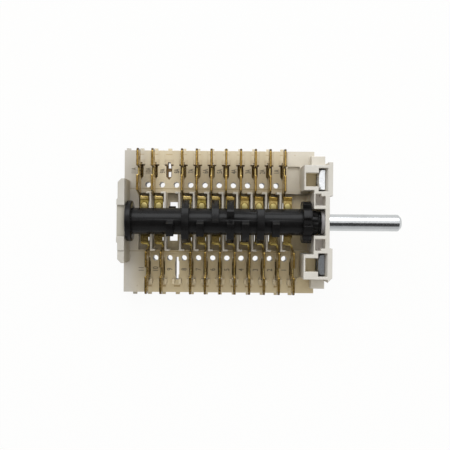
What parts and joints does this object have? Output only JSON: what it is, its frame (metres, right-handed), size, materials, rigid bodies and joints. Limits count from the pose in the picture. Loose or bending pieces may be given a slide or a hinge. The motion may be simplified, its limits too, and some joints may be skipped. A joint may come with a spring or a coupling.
{
  "type": "rotary cam selector switch",
  "caption": "Open rotary cam switch for a cooker: moulded housing, cam drum with spindle, two rows of brass blade terminals with contact springs, and captive nuts.",
  "frame": {"origin": "under the middle of the switch's overall length and width, on its underside", "axes": "+X along the spindle towards its free end, +Y towards the row of fixed terminals, +Z away from the underside, out of the open side"},
  "size_m": [0.101, 0.055, 0.0228],
  "materials": {
    "cream_moulding": "satin cream moulding",
    "black_moulding": "satin black moulding",
    "zinc_plate": "bright zinc plate",
    "nut_steel": "plated steel",
    "ball_steel": "polished",
    "spring_steel": "drawn wire",
    "brass_sheet": "stamped sheet",
    "spring_brass": "rolled spring strip",
    "contact_metal": "plated contact face"
  },
  "bodies": {
    "base": {"detent_spring": "spring_steel", "fixed_rivet_01": "contact_metal", "fixed_rivet_02": "contact_metal", "fixed_rivet_03": "contact_metal", "fixed_rivet_04": "contact_metal", "fixed_rivet_05": "contact_metal", "fixed_rivet_06": "contact_metal", "fixed_rivet_07": "contact_metal", "fixed_rivet_08": "contact_metal", "fixed_rivet_10": "contact_metal", "fixed_rivet_11": "contact_metal", "fixed_terminal_01": "brass_sheet", "fixed_terminal_02": "brass_sheet", "fixed_terminal_03": "brass_sheet", "fixed_terminal_04": "brass_sheet", "fixed_terminal_05": "brass_sheet", "fixed_terminal_06": "brass_sheet", "fixed_terminal_07": "brass_sheet", "fixed_terminal_08": "brass_sheet", "fixed_terminal_10": "brass_sheet", "fixed_terminal_11": "brass_sheet", "housing": "cream_moulding", "moving_rivet_01": "contact_metal", "moving_rivet_02": "contact_metal", "moving_rivet_03": "contact_metal", "moving_rivet_04": "contact_metal", "moving_rivet_05": "contact_metal", "moving_rivet_06": "contact_metal", "moving_rivet_07": "contact_metal", "moving_rivet_08": "contact_metal", "moving_rivet_10": "contact_metal", "moving_rivet_11": "contact_metal", "nut_lower": "nut_steel", "nut_upper": "nut_steel", "spring_blade_01": "spring_brass", "spring_blade_02": "spring_brass", "spring_blade_03": "spring_brass", "spring_blade_04": "spring_brass", "spring_blade_05": "spring_brass", "spring_blade_06": "spring_brass", "spring_blade_07": "spring_brass", "spring_blade_08": "spring_brass", "spring_blade_10": "spring_brass", "spring_blade_11": "spring_brass", "spring_terminal_01": "brass_sheet", "spring_terminal_02": "brass_sheet", "spring_terminal_03": "brass_sheet", "spring_terminal_04": "brass_sheet", "spring_terminal_05": "brass_sheet", "spring_terminal_06": "brass_sheet", "spring_terminal_07": "brass_sheet", "spring_terminal_08": "brass_sheet", "spring_terminal_10": "brass_sheet", "spring_terminal_11": "brass_sheet"},
    "drum": {"cam_drum": "black_moulding", "spindle": "zinc_plate"},
    "ball": {"detent_ball": "ball_steel"}
  },
  "joints": [
    {"name": "drum_turn", "type": "hinge", "parent": "base", "child": "drum", "pos_m": [0, 0, 0.0151], "axis": [1, 0, 0], "continuous": true},
    {"name": "ball_lift", "type": "slide", "parent": "base", "child": "ball", "axis": [0, 0, 1], "range_m": [0, 0.0009], "stiffness_N_per_m": 800, "springref_m": 0.003, "deforming": ["detent_spring"]}
  ]
}
